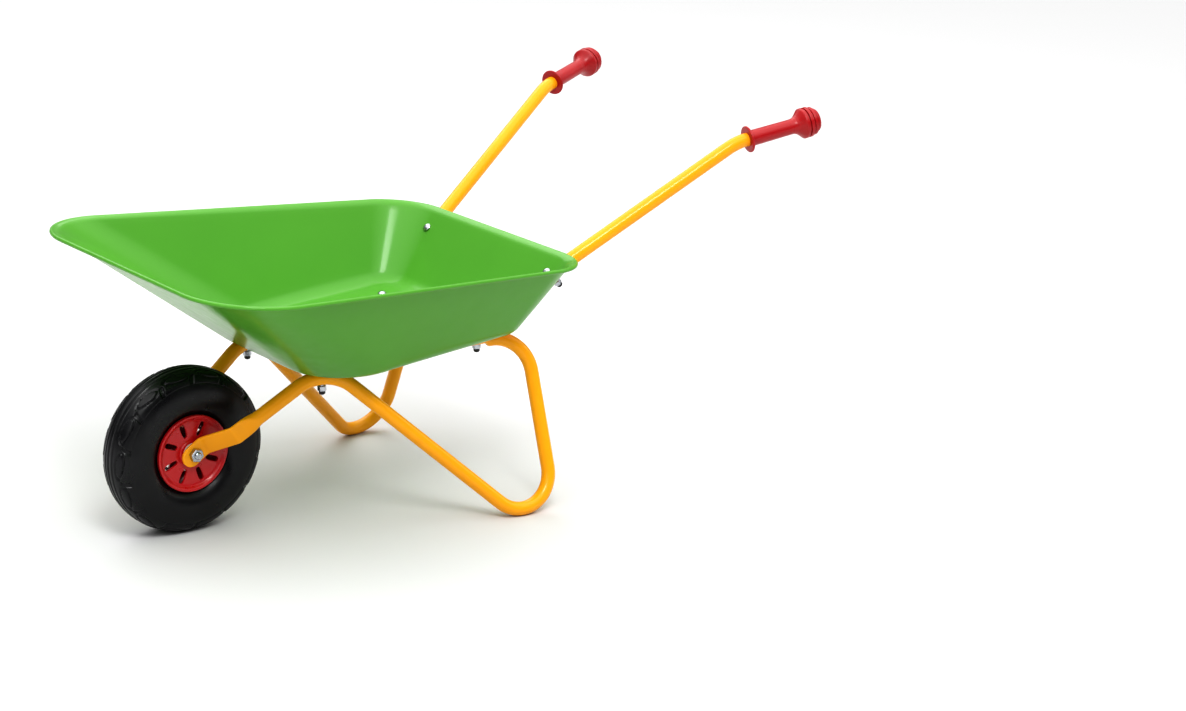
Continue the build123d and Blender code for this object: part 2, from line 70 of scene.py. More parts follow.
# ---------------------------------------------------------------- mesh helpers
def piece(name, verts, faces, body, slot, mat, stands_for=(), sharp=40.0):
    me = bpy.data.meshes.new(name)
    me.from_pydata([tuple(v) for v in verts], [], faces)
    bm = bmesh.new()
    bm.from_mesh(me)
    bmesh.ops.remove_doubles(bm, verts=bm.verts, dist=1e-6)
    bmesh.ops.dissolve_degenerate(bm, edges=bm.edges, dist=1e-7)
    bmesh.ops.recalc_face_normals(bm, faces=bm.faces)
    bm.to_mesh(me)
    bm.free()
    me.polygons.foreach_set("use_smooth", [True] * len(me.polygons))
    me.set_sharp_from_angle(angle=math.radians(sharp))
    me.materials.append(mat)
    ob = bpy.data.objects.new(name, me)
    bpy.context.scene.collection.objects.link(ob)
    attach(ob, body)
    if stands_for:
        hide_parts(*stands_for)
    return ob


def bridge(rings, closed=True, first_cap=False, last_cap=False):
    """Faces between successive rings of points, with flat caps where asked."""
    n = len(rings[0])
    verts = [p for ring in rings for p in ring]
    faces = []
    for r in range(len(rings) - 1):
        for i in range(n if closed else n - 1):
            j = (i + 1) % n
            faces.append((r * n + i, r * n + j, (r + 1) * n + j, (r + 1) * n + i))
    if first_cap:
        faces.append(tuple(range(n))[::-1])
    if last_cap:
        faces.append(tuple(range((len(rings) - 1) * n, len(rings) * n)))
    return verts, faces


def join(*parts):
    """Several (verts, faces) lists as one."""
    verts, faces = [], []
    for v, f in parts:
        base = len(verts)
        verts += v
        faces += [tuple(i + base for i in face) for face in f]
    return verts, faces


def flip_y(part):
    """The same mesh on the right-hand side."""
    v, f = part
    return [Vector((p.x, -p.y, p.z)) for p in v], [face[::-1] for face in f]


def revolve(profile, origin, axis, seg=96):
    """Solid of revolution; profile is (along, radius) in metres and ends on the axis."""
    a = axis.normalized()
    u = a.orthogonal().normalized()
    w = a.cross(u)
    rings = []
    for along, r in profile:
        ring = []
        for i in range(seg):
            t = 2 * math.pi * i / seg
            ring.append(origin + a * along + (u * math.cos(t) + w * math.sin(t)) * r)
        rings.append(ring)
    return bridge(rings)


def round_path(points, radii, step):
    """Points along a polyline with rounded corners, evenly spaced on runs and dense on arcs."""
    out = [points[0]]
    for i in range(1, len(points) - 1):
        p, a, b = points[i], points[i - 1], points[i + 1]
        din, dout = (p - a).normalized(), (b - p).normalized()
        turn = din.angle(dout)
        r = radii[i - 1] * MM
        t = r * math.tan(turn / 2)
        start = p - din * t
        centre = start + (dout - din * din.dot(dout)).normalized() * r
        n = max(6, int(math.degrees(turn) / 3.0))
        axis = din.cross(dout).normalized()
        span(out, start, step)
        for k in range(1, n + 1):
            out.append(centre + Matrix.Rotation(turn * k / n, 3, axis) @ (start - centre))
    span(out, points[-1], step)
    return out


def span(out, end, step):
    """Add points from the last one to end."""
    a = out[-1]
    n = max(1, int((end - a).length / (step * MM)))
    for k in range(1, n + 1):
        out.append(a.lerp(end, k / n))


def lengths(path):
    """Distance of each point from the path's start."""
    run = [0.0]
    for a, b in zip(path, path[1:]):
        run.append(run[-1] + (b - a).length)
    return run


def tangents(path):
    """Direction of the path at each point."""
    out = []
    for i in range(len(path)):
        a, b = path[max(0, i - 1)], path[min(len(path) - 1, i + 1)]
        out.append((b - a).normalized())
    return out


def carry(path, ref):
    """A direction square to the path, carried along it without twist."""
    tans = tangents(path)
    d = (ref - tans[0] * ref.dot(tans[0])).normalized()
    out = [d]
    for a, b in zip(tans, tans[1:]):
        q = a.rotation_difference(b)
        d = q @ d
        d = (d - b * d.dot(b)).normalized()
        out.append(d)
    return out


def squircle(t, power):
    """Point at angle t on a unit circle (power 2) or a rounded square (higher powers)."""
    c, s = math.cos(t), math.sin(t)
    k = (abs(c) ** power + abs(s) ** power) ** (-1 / power)
    return c * k, s * k


def nearest(path, point):
    """Index of the path's point closest to this one."""
    return min(range(len(path)), key=lambda i: (path[i] - point).length)


def smoothstep(x):
    """Ease from 0 to 1, level outside."""
    x = min(1.0, max(0.0, x))
    return x * x * (3 - 2 * x)


# ---------------------------------------------------------------- materials
def material(name):
    m = bpy.data.materials.new(name)
    m.use_nodes = True
    nt = m.node_tree
    bsdf = nt.nodes["Principled BSDF"]
    return m, nt, bsdf


def noise(nt, coord, scale, detail=2.0, rough=0.5):
    n = nt.nodes.new("ShaderNodeTexNoise")
    n.inputs["Scale"].default_value = scale
    n.inputs["Detail"].default_value = detail
    n.inputs["Roughness"].default_value = rough
    nt.links.new(coord, n.inputs["Vector"])
    return n.outputs["Fac"]


def ramp(nt, fac, lo, hi, a, b):
    r = nt.nodes.new("ShaderNodeMapRange")
    r.inputs["From Min"].default_value = lo
    r.inputs["From Max"].default_value = hi
    r.inputs["To Min"].default_value = a
    r.inputs["To Max"].default_value = b
    nt.links.new(fac, r.inputs["Value"])
    return r.outputs["Result"]


def mix_color(nt, fac, a, b):
    m = nt.nodes.new("ShaderNodeMix")
    m.data_type = "RGBA"
    m.inputs[6].default_value = (*a, 1)
    m.inputs[7].default_value = (*b, 1)
    nt.links.new(fac, m.inputs[0])
    return m.outputs[2]


def bumps(nt, layers, target):
    """Stack of bump layers, each (height socket, distance in metres, strength)."""
    last = None
    for height, distance, strength in layers:
        b = nt.nodes.new("ShaderNodeBump")
        b.inputs["Distance"].default_value = distance
        b.inputs["Strength"].default_value = strength
        nt.links.new(height, b.inputs["Height"])
        if last is not None:
            nt.links.new(last, b.inputs["Normal"])
        last = b.outputs["Normal"]
    nt.links.new(last, target)
    return last


def coords(nt):
    return nt.nodes.new("ShaderNodeTexCoord").outputs["Object"]


def mottle(nt, c, target, color, dark, scale, detail, edge):
    """Two near colours, clouded together."""
    cloud = ramp(nt, noise(nt, c, scale, detail), edge, 1 - edge, 0.0, 1.0)
    nt.links.new(mix_color(nt, cloud, color, dark), target)


def vary_rough(nt, c, target, scale, detail, lo, hi):
    """Roughness that wanders between two values."""
    nt.links.new(ramp(nt, noise(nt, c, scale, detail), 0.3, 0.7, lo, hi), target)


def paint(name, color, dark, rough, coat, coat_rough, peel, spec):
    """Powder coat or enamel: an even colour under a clear gloss, with faint orange peel."""
    m, nt, b = material(name)
    c = coords(nt)
    mottle(nt, c, b.inputs["Base Color"], color, dark, 9.0, 3.0, 0.35)
    vary_rough(nt, c, b.inputs["Roughness"], 60.0, 3.0, rough - 0.04, rough + 0.05)
    b.inputs["Specular IOR Level"].default_value = spec
    b.inputs["Coat Weight"].default_value = coat
    b.inputs["Coat Roughness"].default_value = coat_rough
    b.inputs["Coat IOR"].default_value = 1.5
    n = bumps(
        nt,
        [(noise(nt, c, 260.0, 1.0), 0.00012, peel), (noise(nt, c, 30.0, 1.0), 0.0006, peel * 0.35)],
        b.inputs["Normal"],
    )
    nt.links.new(n, b.inputs["Coat Normal"])
    return m


def plastic(name, color, dark, rough, coat=0.0):
    """Moulded plastic with a fine grain."""
    m, nt, b = material(name)
    c = coords(nt)
    mottle(nt, c, b.inputs["Base Color"], color, dark, 25.0, 3.0, 0.3)
    vary_rough(nt, c, b.inputs["Roughness"], 140.0, 4.0, rough - 0.05, rough + 0.07)
    b.inputs["Coat Weight"].default_value = coat
    b.inputs["Coat Roughness"].default_value = 0.12
    bumps(
        nt,
        [(noise(nt, c, 900.0, 3.0), 0.00006, 0.25), (noise(nt, c, 90.0, 1.0), 0.0002, 0.15)],
        b.inputs["Normal"],
    )
    return m


def rubber(name, color, dark, rough, spec=0.3):
    """Black rubber, a little uneven."""
    m, nt, b = material(name)
    c = coords(nt)
    mottle(nt, c, b.inputs["Base Color"], color, dark, 40.0, 4.0, 0.35)
    vary_rough(nt, c, b.inputs["Roughness"], 70.0, 5.0, rough - 0.08, rough + 0.1)
    b.inputs["Specular IOR Level"].default_value = spec
    bumps(
        nt,
        [(noise(nt, c, 1500.0, 3.0), 0.00008, 0.35), (noise(nt, c, 60.0, 2.0), 0.0004, 0.2)],
        b.inputs["Normal"],
    )
    return m


def metal(name, color, dark, rough):
    """Plated metal with a fine grain."""
    m, nt, b = material(name)
    c = coords(nt)
    mottle(nt, c, b.inputs["Base Color"], color, dark, 220.0, 3.0, 0.35)
    b.inputs["Metallic"].default_value = 1.0
    vary_rough(nt, c, b.inputs["Roughness"], 500.0, 3.0, rough - 0.08, rough + 0.1)
    bumps(nt, [(noise(nt, c, 2500.0, 2.0), 0.00003, 0.4)], b.inputs["Normal"])
    return m


GREEN = paint(
    "green_enamel", (0.104, 0.338, 0.037), (0.098, 0.325, 0.035),
    rough=0.42, coat=0.5, coat_rough=0.15, peel=0.2, spec=0.15,
)
YELLOW = paint(
    "yellow_powder", (0.95, 0.42, 0.012), (0.90, 0.385, 0.010),
    rough=0.40, coat=0.45, coat_rough=0.12, peel=0.4, spec=0.12,
)
GRIP_RED = plastic("grip_red", (0.40, 0.007, 0.011), (0.36, 0.005, 0.009), rough=0.36, coat=0.08)
RIM_RED = plastic("rim_red", (0.52, 0.010, 0.016), (0.47, 0.008, 0.012), rough=0.30, coat=0.3)
TYRE = rubber("tyre_rubber", (0.006, 0.006, 0.0075), (0.004, 0.004, 0.005), rough=0.33, spec=0.42)
TUBE = rubber("tube_rubber", (0.02, 0.02, 0.02), (0.014, 0.014, 0.014), rough=0.6)
BLACK = plastic("black_plastic", (0.012, 0.012, 0.013), (0.008, 0.008, 0.009), rough=0.35)
NYLON = plastic("nylon", (0.70, 0.70, 0.66), (0.62, 0.62, 0.58), rough=0.45)
ZINC = metal("zinc_plate", (0.50, 0.52, 0.55), (0.38, 0.40, 0.43), rough=0.24)
BRASS = metal("brass_plate", (0.75, 0.53, 0.25), (0.65, 0.44, 0.18), rough=0.3)
BY_SLOT = {
    "green": GREEN, "yellow": YELLOW, "grip": GRIP_RED, "red": RIM_RED, "tyre": TYRE,
    "rubber": TUBE, "black": BLACK, "nylon": NYLON, "zinc": ZINC, "brass": BRASS,
}
for sub in frame["record"]["subparts"]:
    ob = frame["nodes"][sub["node"]]
    ob.data.materials.clear()
    ob.data.materials.append(BY_SLOT[sub["material_slot"]])


# ---------------------------------------------------------------- tub
SHEET = 1.0
RIM = dict(front=75.5, rear=-403.0, fy=202.0, ry=167.0, fz=291.3, rz=270.0, fc=80.0, rc=59.0)
FLOOR = dict(front=-97.5, rear=-345.0, fy=129.0, ry=122.7, fc=75.0, rc=29.0, z=169.4, slope=0.0903)
LIP, BEAD, EDGE = 4.5, 2.2, 25.0  # lip's width, bead's radius, radius between floor and wall
EDGE_STEPS, WALL_STEPS = 12, 14
BEAD_FROM, BEAD_TO, BEAD_STEPS = 118, -140, 26  # degrees round the bead, from inside over to outside

tau = math.atan(FLOOR["slope"])
rho = math.atan((RIM["fz"] - RIM["rz"]) / (RIM["front"] - RIM["rear"]))
floor_x = Vector((math.cos(tau), 0, -math.sin(tau)))
floor_up = Vector((math.sin(tau), 0, math.cos(tau)))
rim_x = Vector((math.cos(rho), 0, math.sin(rho)))
rim_up = Vector((-math.sin(rho), 0, math.cos(rho)))
floor_len = (FLOOR["front"] - FLOOR["rear"]) / math.cos(tau)
rim_len = (RIM["front"] - RIM["rear"]) / math.cos(rho)


def outline(length, fy, ry, fc, rc, inset, counts):
    """Rounded trapezoid as [(x, y), (normal x, normal y)], the same counts whatever its size."""
    taper = (fy - ry) / length
    fy, ry = fy - inset * (1 + taper), ry - inset * (1 - taper)
    fc, rc, back = fc - inset, rc - inset, length - 2 * inset
    corners = [
        (Vector((-inset, fy)), fc), (Vector((-inset - back, ry)), rc),
        (Vector((-inset - back, -ry)), rc), (Vector((-inset, -fy)), fc),
    ]
    n_arc, n_side, n_rear, n_front = counts
    arcs = []
    for i, (p, r) in enumerate(corners):
        a, b = corners[i - 1][0], corners[(i + 1) % 4][0]
        din, dout = (p - a).normalized(), (b - p).normalized()
        turn = math.acos(din.dot(dout))
        start = p - din * (r * math.tan(turn / 2))
        centre = start + Vector((-din.y, din.x)) * r
        a0 = math.atan2(start.y - centre.y, start.x - centre.x)
        angles = [a0 + turn * k / n_arc for k in range(n_arc + 1)]
        normals = [Vector((math.cos(t), math.sin(t))) for t in angles]
        arcs.append([(centre + normal * r, normal) for normal in normals])
    pts = []
    for i, n in enumerate((n_side, n_rear, n_side, n_front)):
        pts += arcs[i]
        a, b = arcs[i][-1], arcs[(i + 1) % 4][0]
        pts += [(a[0].lerp(b[0], k / n), a[1]) for k in range(1, n)]
    return pts


def lift(points, origin, xdir):
    """Outline points and normals placed in a tilted plane, in millimetres."""
    out = []
    for p, n in points:
        normal = (xdir * n.x + Vector((0, n.y, 0))).normalized()
        out.append((origin + xdir * p.x + Vector((0, p.y, 0)), normal))
    return out


counts = (30, 26, 20, 24)
floor_o = Vector((FLOOR["front"], 0, FLOOR["z"]))
rim_o = Vector((RIM["front"], 0, RIM["fz"]))
rim_sizes = (rim_len, RIM["fy"], RIM["ry"], RIM["fc"], RIM["rc"])
floor_sizes = (floor_len, FLOOR["fy"], FLOOR["ry"], FLOOR["fc"], FLOOR["rc"])
loop_f = lift(outline(*floor_sizes, 0, counts), floor_o, floor_x)
loop_w = lift(outline(*rim_sizes, LIP, counts), rim_o, rim_x)
loop_b = lift(outline(*rim_sizes, 0, counts), rim_o, rim_x)


def bezier(p0, p1, p2, p3, n):
    """n + 1 points along a cubic curve."""
    return [
        p0 * (1 - t) ** 3 + p1 * 3 * t * (1 - t) ** 2 + p2 * 3 * t * t * (1 - t) + p3 * t ** 3
        for t in [i / n for i in range(n + 1)]
    ]


def tub_section(i):
    """One section of the tub: points up the inside, over the bead and down the outside."""
    f, fn = loop_f[i]
    w, wn = loop_w[i]
    b, bn = loop_b[i]
    up = (w - f).normalized()
    inward = -fn
    turn = math.pi - inward.angle(up)
    t = EDGE * math.tan(turn / 2)
    weight = math.cos(turn / 2)
    pf, pw = f + inward * t, f + up * t
    outer = []
    for k in range(EDGE_STEPS + 1):
        s = k / EDGE_STEPS
        a, c, d = (1 - s) ** 2, 2 * s * (1 - s) * weight, s * s
        outer.append((pf * a + f * c + pw * d) / (a + c + d))
    top = w - up * 6.0
    outer += [pw.lerp(top, k / WALL_STEPS) for k in range(1, WALL_STEPS + 1)]
    # the way the wall faces, from the outline's tangent
    z_up = Vector((0, 0, 1))
    wall_n = z_up.cross(fn).lerp(z_up.cross(wn), 0.5).cross(up).normalized()
    if wall_n.dot(fn) < 0:
        wall_n = -wall_n
    inner = []
    for k, p in enumerate(outer):
        ang = turn * min(k, EDGE_STEPS) / EDGE_STEPS
        facing = (wall_n * math.sin(ang) - floor_up * math.sin(max(0.0, turn - ang))).normalized()
        inner.append(p - facing * SHEET)
    centre = b - rim_up * (SHEET / 2)

    def round_bead(deg):
        """Direction out of the bead's middle at this angle, and the direction a quarter turn back."""
        c, s = math.cos(math.radians(deg)), math.sin(math.radians(deg))
        return bn * c + rim_up * s, bn * s - rim_up * c

    beads = [
        centre + round_bead(BEAD_FROM + (BEAD_TO - BEAD_FROM) * k / BEAD_STEPS)[0] * BEAD
        for k in range(BEAD_STEPS + 1)
    ]
    in_dir = round_bead(BEAD_FROM)[1]
    rise = bezier(inner[-1], inner[-1] + up * 4.6, beads[0] - in_dir * 2.2, beads[0], 9)[1:-1]
    fall = bezier(beads[-1], beads[-1] - bn * 1.4 + rim_up * 0.5, outer[-1] + up * 4.2, outer[-1], 8)[1:-1]
    return inner + rise + beads + fall + outer[::-1]


sections = [tub_section(i) for i in range(len(loop_f))]
rows = [[at(*s[k]) for s in sections] for k in range(len(sections[0]))]
centre_in = at(*(floor_o + floor_x * (-floor_len / 2) + floor_up * SHEET))
centre_out = at(*(floor_o + floor_x * (-floor_len / 2)))
FILL = (0.02, 0.2, 0.4, 0.6, 0.8, 0.92)  # rings across the flat floor
fill_in = [[centre_in.lerp(p, s) for p in rows[0]] for s in FILL]
fill_out = [[centre_out.lerp(p, s) for p in rows[-1]] for s in FILL[::-1]]
tub_mesh = bridge(fill_in + rows + fill_out, first_cap=True, last_cap=True)
piece("tub_shell", *tub_mesh, "frame", "green", GREEN, ["tub"], sharp=60)

# ---------------------------------------------------------------- leg and fork tubes
R_TUBE = 7.5
N_RING = 48
FLAT_POWER, ROUND_POWER = 7.0, 2.0  # squareness of a pressed strap and of the round tube
FORK_TILT = math.radians(35)
AX_Z = AXLE.z / MM
ARM_HALF, ARM_THICK = 11.0, 1.5  # half width and half thickness of the pressed arm
EYE_FRONT, EYE_REAR, EYE_Y = 15.0, -13.0, 22.3  # pressed eye, along the arm and out from the middle
JOGGLE, JOGGLE_Y = -39.0, 48.6
ARCH = (-126.7, 71.0, 176.4)
FOOT = (-368.0, 178.5, -42.286)
HIP = (-367.0, 96.5)
LEG_END = (-298.5, 84.1)
LEG_ROUND_X, LEG_OVAL_X = -323.5, -315.5
ROUND_SEAT, OVAL_SEAT = 10.2, 7.2  # below the floor's outer face
OVAL_WIDE, OVAL_THICK, OVAL_POWER = 9.5, 4.5, 2.8
TUBE_WALL, CHAMFER = 1.2, 0.2
OVAL_STEPS = 12
ca, sa = math.cos(FORK_TILT), math.sin(FORK_TILT)


def fork(s, y):
    """Point on the arm, s along it from the axle."""
    return at(ca * s, y, AX_Z - sa * s)


def floor_at(x, y, below):
    """Point under the tub's floor."""
    z = FLOOR["z"] + FLOOR["slope"] * (FLOOR["front"] - x)
    return at(*(Vector((x, y, z)) - floor_up * below))


def leg_y(x):
    """How far out the leg's rear run is at this x."""
    return LEG_END[1] + (HIP[1] - LEG_END[1]) / (HIP[0] - LEG_END[0]) * (x - LEG_END[0])


def ring(point, tangent, wide, half_wide, half_thick, power):
    """Section square to the path, with its width along wide."""
    thick = tangent.cross(wide).normalized()
    out = []
    for i in range(N_RING):
        c, s = squircle(2 * math.pi * i / N_RING, power)
        out.append(point + wide * (half_wide * c * MM) + thick * (half_thick * s * MM))
    return out


def pressed_tube(path, wides, half_wide, half_thick, flat_at, round_at):
    """Rings of a tube pressed to a strap with a rounded end, and growing round between two of its points."""
    run, tans = lengths(path), tangents(path)
    out = []
    for p, d, tan, wide in zip(path, run, tans, wides):
        if d <= flat_at:
            back = max(0.0, half_wide - d / MM)
            half = math.sqrt(max(0.25, half_wide ** 2 - back ** 2))
            out.append(ring(p, tan, wide, half, half_thick, FLAT_POWER))
            continue
        t = smoothstep((d - flat_at) / (round_at - flat_at))
        out.append(ring(
            p, tan, wide,
            half_wide + (R_TUBE - half_wide) * t,
            half_thick + (R_TUBE - half_thick) * t,
            FLAT_POWER + (ROUND_POWER - FLAT_POWER) * t,
        ))
    return out


leg_path = round_path(
    [
        fork(EYE_FRONT, EYE_Y),
        fork(EYE_REAR, EYE_Y),
        fork(JOGGLE, JOGGLE_Y),
        at(*ARCH),
        at(*FOOT),
        floor_at(*HIP, ROUND_SEAT),
        floor_at(LEG_ROUND_X, leg_y(LEG_ROUND_X), ROUND_SEAT),
    ],
    [8.0, 8.0, 49.0, 38.6, 42.0],
    1.0,
)
leg_run = lengths(leg_path)
leg_wide = carry(leg_path, Vector((sa, 0, ca)))
# where the arm stops being flat and where it is fully round, measured from the eye's end
arch_s = ARCH[0] * ca - (ARCH[2] - AX_Z) * sa
spread = (JOGGLE_Y - ARCH[1]) / (JOGGLE - arch_s)
flat_to = leg_run[nearest(leg_path, fork(JOGGLE - 9.0, JOGGLE_Y + spread * -9.0))]
leg_rings = pressed_tube(leg_path, leg_wide, ARM_HALF, ARM_THICK, flat_to, flat_to + 20 * MM)
# the rear end, pressed to an oval that the floor's rear bolt passes through
oval_start = floor_at(LEG_OVAL_X, leg_y(LEG_OVAL_X), OVAL_SEAT)
end_dir = (floor_at(*LEG_END, OVAL_SEAT) - oval_start).normalized()
end_side = end_dir.cross(floor_up).normalized()
end_up = end_side.cross(end_dir)
turned = math.atan2(-leg_wide[-1].dot(end_up), leg_wide[-1].dot(end_side))


def oval_ring(point, half_wide, half_thick, power):
    """Ring in the oval's own frame, with its points in line with the round tube's."""
    out = []
    for i in range(N_RING):
        c, s = squircle(2 * math.pi * i / N_RING + turned, power)
        out.append(point + end_side * (half_wide * c * MM) - end_up * (half_thick * s * MM))
    return out


for k in range(1, OVAL_STEPS + 1):
    t = smoothstep(k / OVAL_STEPS)
    x = LEG_ROUND_X + (LEG_OVAL_X - LEG_ROUND_X) * k / OVAL_STEPS
    leg_rings.append(oval_ring(
        floor_at(x, leg_y(x), ROUND_SEAT + (OVAL_SEAT - ROUND_SEAT) * t),
        R_TUBE + (OVAL_WIDE - R_TUBE) * t,
        R_TUBE + (OVAL_THICK - R_TUBE) * t,
        ROUND_POWER + (OVAL_POWER - ROUND_POWER) * t,
    ))
# along the outside to the open mouth, and back in along the bore: (x, how far in from the skin)
for x, skin in (
    (-311.0, 0.0), (-306.0, 0.0), (-299.0, 0.0), (-298.6, CHAMFER),
    (-298.6, TUBE_WALL - CHAMFER), (-299.0, TUBE_WALL), (-311.0, TUBE_WALL),
):
    mouth = floor_at(x, leg_y(x), OVAL_SEAT)
    leg_rings.append(oval_ring(mouth, OVAL_WIDE - skin, OVAL_THICK - skin, OVAL_POWER))
leg_mesh = bridge(leg_rings, first_cap=True, last_cap=True)
piece("leg_left", *leg_mesh, "frame", "yellow", YELLOW, ["leg_tube_left"])
piece("leg_right", *flip_y(leg_mesh), "frame", "yellow", YELLOW, ["leg_tube_right"])

# ---------------------------------------------------------------- handle tubes
HANDLE_SLOPE, HANDLE_Z = 0.6607, 257.6  # rise of the handle's long run, and its height at the rim
HEEL, HEEL_HALF = 2.4, 10.5  # thickness and half width of the pressed heel
HEEL_SPLAY = 0.266
FIT = 0.1
TUBE_OUT, HEEL_OUT = R_TUBE + FIT, FIT + HEEL / 2  # centre lines, out from the sheet
WALL_CORNER_Y = 109.3
GRIP_CORNER = (-595.4, 166.0)
HEEL_TO, TUBE_FROM = 41.0, 59.0  # up the wall, where the heel ends and the round tube begins
TUBE_IN_GRIP = 77.4
wall_foot = Vector((FLOOR["rear"], 0, FLOOR["z"] + FLOOR["slope"] * (FLOOR["front"] - FLOOR["rear"])))
wall_up = (Vector((RIM["rear"] + LIP, 0, RIM["rz"])) - wall_foot).normalized()
wall_out = Vector((-wall_up.z, 0, wall_up.x))
near = wall_foot + wall_out * TUBE_OUT
climb = (HANDLE_Z + HANDLE_SLOPE * (RIM["rear"] - near.x) - near.z) / (wall_up.z + HANDLE_SLOPE * wall_up.x)
wall_corner = near + wall_up * climb
wall_corner.y = WALL_CORNER_Y
grip_corner = Vector((*GRIP_CORNER, HANDLE_Z + HANDLE_SLOPE * (RIM["rear"] - GRIP_CORNER[0])))
grip_dir = Vector((-0.9395, 0.2602, 0.2225)).normalized()


def splayed(p):
    """The point moved out to the handle's line in plan."""
    return Vector((p.x, wall_corner.y + HEEL_SPLAY * (wall_corner.x - p.x), p.z))


def on_wall(along, out):
    return splayed(wall_foot + wall_up * along + wall_out * out)


def under_floor(x, out):
    z = FLOOR["z"] + FLOOR["slope"] * (FLOOR["front"] - x)
    return splayed(Vector((x, 0, z)) - floor_up * out)


# the heel bends where its runs under the floor and up the wall would meet
floor_a, wall_a = under_floor(-300.0, HEEL_OUT), on_wall(0.0, HEEL_OUT)
floor_d, wall_d = under_floor(-320.0, HEEL_OUT) - floor_a, on_wall(20.0, HEEL_OUT) - wall_a
gap = wall_a - floor_a
meet = (gap.x * wall_d.z - gap.z * wall_d.x) / (floor_d.x * wall_d.z - floor_d.z * wall_d.x)
handle_points = [
    under_floor(LEG_END[0], HEEL_OUT),
    floor_a + floor_d * meet,
    on_wall(HEEL_TO, HEEL_OUT),
    on_wall(TUBE_FROM, TUBE_OUT),
    wall_corner,
    grip_corner,
    grip_corner + grip_dir * TUBE_IN_GRIP,
]
handle_path = round_path([at(*p) for p in handle_points], [26.3, 26.0, 26.0, 80.0, 68.0], 1.5)
handle_run, handle_tan = lengths(handle_path), tangents(handle_path)
heel_end = nearest(handle_path, at(*on_wall(HEEL_TO - 1.0, HEEL_OUT)))
round_start = nearest(handle_path, at(*on_wall(TUBE_FROM + 2.0, TUBE_OUT)))
handle_wide = []
for i, tan in enumerate(handle_tan):
    if i <= round_start:
        # the flat side lies against the sheet: its normal is square to Y and to the side view's run
        side = Vector((tan.x, 0, tan.z)).normalized()
        handle_wide.append(tan.cross(Vector((-side.z, 0, side.x))).normalized())
    else:
        d = handle_tan[i - 1].rotation_difference(tan) @ handle_wide[-1]
        handle_wide.append((d - tan * d.dot(tan)).normalized())
handle_rings = pressed_tube(
    handle_path, handle_wide, HEEL_HALF, HEEL / 2, handle_run[heel_end], handle_run[round_start]
)
handle_mesh = bridge(handle_rings, first_cap=True, last_cap=True)
piece("handle_left", *handle_mesh, "frame", "yellow", YELLOW, ["handle_tube_left"])
piece("handle_right", *flip_y(handle_mesh), "frame", "yellow", YELLOW, ["handle_tube_right"])


# ---------------------------------------------------------------- grips
def round_profile(corners, n=5):
    """Outline with rounded corners, from corners given as (along, radius, rounding)."""
    pts = [Vector(c[:2]) for c in corners]
    out = [tuple(pts[0])]
    for a, p, b, (_, _, r) in zip(pts, pts[1:], pts[2:], corners[1:]):
        if r <= 0:
            out.append(tuple(p))
            continue
        din, dout = (p - a).normalized(), (b - p).normalized()
        turn = math.acos(max(-1, min(1, din.dot(dout))))
        t = min(r * math.tan(turn / 2), (p - a).length * 0.49, (b - p).length * 0.49)
        for k in range(n + 1):
            s = k / n
            q = (p - din * t) * (1 - s) ** 2 + p * 2 * s * (1 - s) + (p + dout * t) * s * s
            out.append((q.x, q.y))
    out.append(tuple(pts[-1]))
    return out


BORE, GUARD_R, GUARD_THICK = 7.55, 14.75, 2.6
TO_GUARD = 13.4  # from the handle's bend to the guard
grip_corners = [
    (65.0, 0.0, 0), (65.0, BORE, 0.2), (0.0, BORE, 0.5), (0.0, GUARD_R, 1.2), (GUARD_THICK, GUARD_R, 1.2),
    (GUARD_THICK, 8.88, 0.8),
    # the barrel flares into the end knob
    (54.0, 8.42, 2.0), (57.0, 8.7, 2.0), (59.8, 9.6, 2.0), (62.2, 11.2, 2.0),
    (64.2, 13.0, 2.0), (66.0, 14.8, 2.0), (67.2, 16.0, 2.0), (68.2, 16.9, 1.2),
]


def ridge(start, end, top, groove_end, low):
    """Corners of a ridge round the end knob and of the groove behind it."""
    return [(start, top, 0.8), (end, top, 0.8), (end, low, 0.25), (groove_end, low, 0.25)]


grip_corners += [(71.7, 16.95, 0.6), (71.7, 14.6, 0.25), (73.1, 14.6, 0.25)]
grip_corners += ridge(73.1, 77.1, 16.85, 78.5, 14.0) + ridge(78.5, 82.3, 15.55, 83.4, 12.6)
grip_corners += [(83.4, 13.55, 0.5), (85.0, 13.3, 2.0), (87.0, 11.8, 2.0), (88.0, 9.0, 1.0), (88.0, 0.0, 0)]
AXIS_GAP = 0.02  # keeps the ends' rings open on the axis
grip_profile = [(a * MM, max(r, AXIS_GAP) * MM) for a, r in round_profile(grip_corners)]
grip_mesh = revolve(grip_profile, at(*(grip_corner + grip_dir * TO_GUARD)), grip_dir)
piece("hand_grip_left", *grip_mesh, "frame", "grip", GRIP_RED, ["grip_left"], sharp=50)
piece("hand_grip_right", *flip_y(grip_mesh), "frame", "grip", GRIP_RED, ["grip_right"], sharp=50)


# ---------------------------------------------------------------- tyre
TREADS = 14  # shoulder blocks on each side
SEG = 840
TREAD_R = 75.5  # the tread is cut only outside this radius
SHOULDER_Y = 16.0
# one half, from the bead to the middle of the tread as (y, radius), and the same inside
OUTER_HALF = [
    (16.8, 38.6), (16.9, 41.0), (17.6, 42.6), (19.4, 44.6), (21.6, 47.4), (23.3, 50.8), (24.4, 54.6),
    (24.95, 58.6), (25.05, 62.6), (24.8, 66.4), (24.2, 70.0), (23.3, 73.2), (22.6, 75.0), (22.3, 75.7),
    (22.35, 76.3), (21.7, 78.2), (20.4, 80.6), (18.6, 82.6), (16.3, 84.2), (13.6, 85.4), (10.6, 86.35),
    (7.4, 87.0), (3.8, 87.4), (0.0, 87.5),
]
INNER_HALF = [(-10.8, 37.4), (-11.6, 42.0), (-20.4, 56.0), (-21.0, 66.0), (-12.5, 79.5), (0.0, 82.0)]


